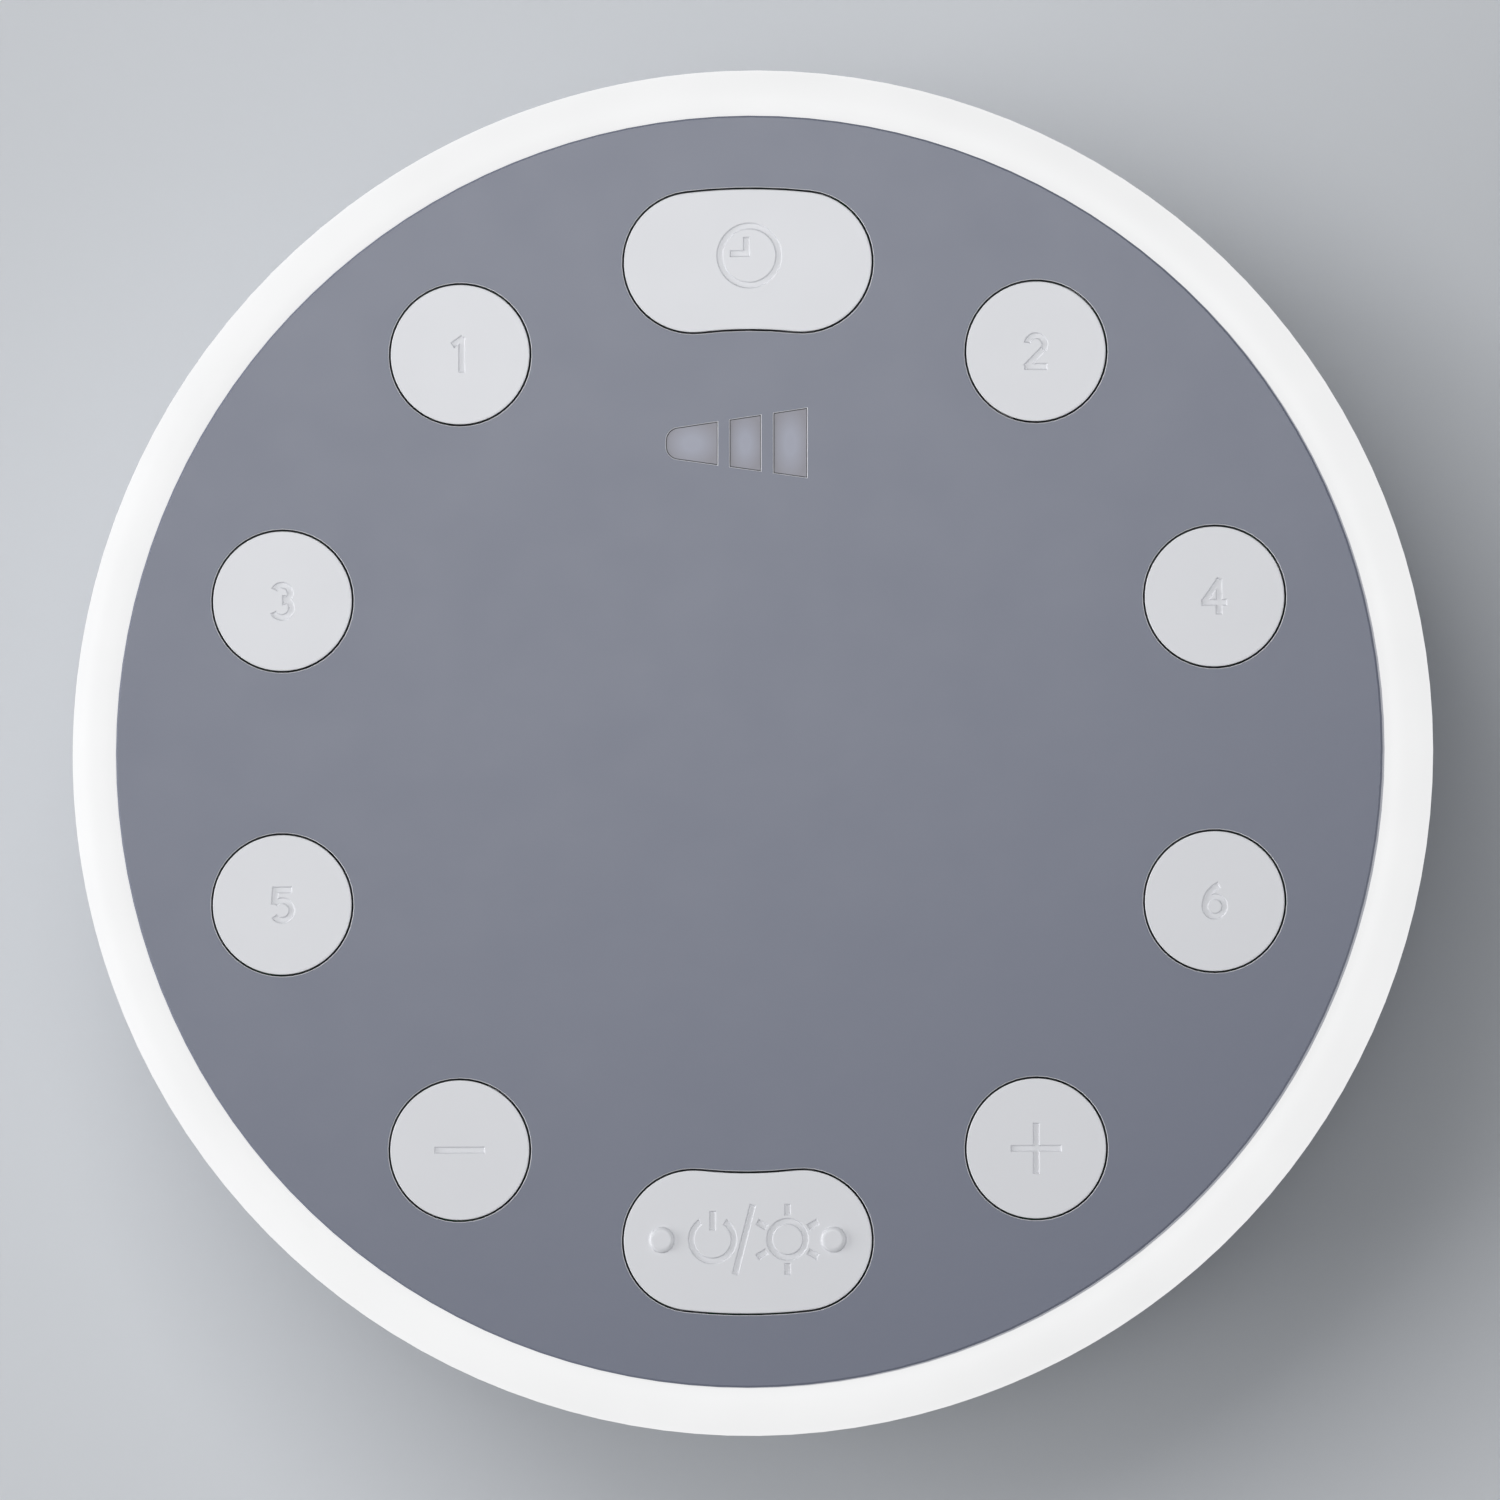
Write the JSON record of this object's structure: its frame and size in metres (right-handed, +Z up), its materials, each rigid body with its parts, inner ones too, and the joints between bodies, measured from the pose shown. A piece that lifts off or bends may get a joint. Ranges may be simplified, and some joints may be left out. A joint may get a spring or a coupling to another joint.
{
  "type": "white noise sound machine",
  "caption": "Round bedside white noise machine with push buttons on a flat grey top, a glowing rim light and a speaker that fires down through the base.",
  "frame": {"origin": "middle of the circle through the feet, on the plane that they stand on", "axes": "+Z up along the puck's axis, +Y towards the timer button and the power inlet, +X to the right of the panel"},
  "size_m": [0.115, 0.115, 0.0483],
  "materials": {
    "panel_grey": "fine satin texture",
    "cap_white": "satin",
    "ring_diffuser": "translucent, lit from inside",
    "lens_milky": "milky diffuser",
    "housing_white": "satin",
    "base_grey": "fine satin texture",
    "black_plastic": "matte",
    "plunger_white": "satin",
    "board_green": "solder mask over glass fibre",
    "led_body": "clear resin over phosphor",
    "chip_black": "moulded epoxy",
    "can_aluminium": "brushed can",
    "pin_metal": "bright",
    "plug_ivory": "satin",
    "lead_black": "soft vinyl",
    "foot_rubber": "soft matte",
    "screw_steel": "zinc plated",
    "cloth_black": "open weave",
    "gasket_foam": "closed-cell foam",
    "basket_steel": "stamped, zinc plated",
    "ferrite": "sintered",
    "surround_rubber": "soft matte",
    "cone_paper": "pressed pulp",
    "coil_copper": "enamelled wire",
    "terminal_board": "fibre board"
  },
  "bodies": {
    "case": {"top_panel": "panel_grey", "light_ring": "ring_diffuser", "indicator_lens": "lens_milky", "indicator_light_box": "black_plastic", "housing": "housing_white", "base_cover": "base_grey", "switch_bodies": "black_plastic", "main_board": "board_green", "ring_leds": "led_body", "indicator_leds": "led_body", "sound_chip": "chip_black", "amplifier_chip": "chip_black", "capacitors": "can_aluminium", "power_jack": "black_plastic", "jack_pin": "pin_metal", "speaker_plug": "plug_ivory", "speaker_lead": "lead_black", "rubber_feet": "foot_rubber", "case_screws": "screw_steel", "panel_screws": "screw_steel", "board_screws": "screw_steel", "speaker_screws": "screw_steel", "grille_cloth": "cloth_black", "speaker_gasket": "gasket_foam", "speaker_basket": "basket_steel", "front_plate": "basket_steel", "speaker_magnet": "ferrite", "magnet_yoke": "basket_steel", "speaker_surround": "surround_rubber", "speaker_terminals": "terminal_board"},
    "speaker_diaphragm": {"speaker_cone": "cone_paper", "voice_coil": "coil_copper", "dust_cap": "cone_paper"},
    "calm_key": {"calm_button": "cap_white", "calm_plunger": "plunger_white"},
    "relax_key": {"relax_button": "cap_white", "relax_plunger": "plunger_white"},
    "timer_key": {"timer_button": "cap_white", "timer_plunger": "plunger_white"},
    "rain_key": {"rain_button": "cap_white", "rain_plunger": "plunger_white"},
    "forest_key": {"forest_button": "cap_white", "forest_plunger": "plunger_white"},
    "ocean_key": {"ocean_button": "cap_white", "ocean_plunger": "plunger_white"},
    "volume_down_key": {"volume_down_button": "cap_white", "volume_down_plunger": "plunger_white"},
    "power_light_key": {"power_light_button": "cap_white", "power_light_plunger": "plunger_white"},
    "volume_up_key": {"volume_up_button": "cap_white", "volume_up_plunger": "plunger_white"},
    "white_noise_key": {"white_noise_button": "cap_white", "white_noise_plunger": "plunger_white"}
  },
  "joints": [
    {"name": "calm_press", "type": "slide", "parent": "case", "child": "calm_key", "axis": [0, 0, -1], "range_m": [0, 0.0005], "stiffness_N_per_m": 3000},
    {"name": "relax_press", "type": "slide", "parent": "case", "child": "relax_key", "axis": [0, 0, -1], "range_m": [0, 0.0005], "stiffness_N_per_m": 3000},
    {"name": "timer_press", "type": "slide", "parent": "case", "child": "timer_key", "axis": [0, 0, -1], "range_m": [0, 0.0005], "stiffness_N_per_m": 3000},
    {"name": "rain_press", "type": "slide", "parent": "case", "child": "rain_key", "axis": [0, 0, -1], "range_m": [0, 0.0005], "stiffness_N_per_m": 3000},
    {"name": "forest_press", "type": "slide", "parent": "case", "child": "forest_key", "axis": [0, 0, -1], "range_m": [0, 0.0005], "stiffness_N_per_m": 3000},
    {"name": "ocean_press", "type": "slide", "parent": "case", "child": "ocean_key", "axis": [0, 0, -1], "range_m": [0, 0.0005], "stiffness_N_per_m": 3000},
    {"name": "volume_down_press", "type": "slide", "parent": "case", "child": "volume_down_key", "axis": [0, 0, -1], "range_m": [0, 0.0005], "stiffness_N_per_m": 3000},
    {"name": "power_light_press", "type": "slide", "parent": "case", "child": "power_light_key", "axis": [0, 0, -1], "range_m": [0, 0.0005], "stiffness_N_per_m": 3000},
    {"name": "volume_up_press", "type": "slide", "parent": "case", "child": "volume_up_key", "axis": [0, 0, -1], "range_m": [0, 0.0005], "stiffness_N_per_m": 3000},
    {"name": "white_noise_press", "type": "slide", "parent": "case", "child": "white_noise_key", "axis": [0, 0, -1], "range_m": [0, 0.0005], "stiffness_N_per_m": 3000},
    {"name": "diaphragm_stroke", "type": "slide", "parent": "case", "child": "speaker_diaphragm", "axis": [0, 0, 1], "range_m": [-0.001, 0.001], "stiffness_N_per_m": 2500}
  ]
}
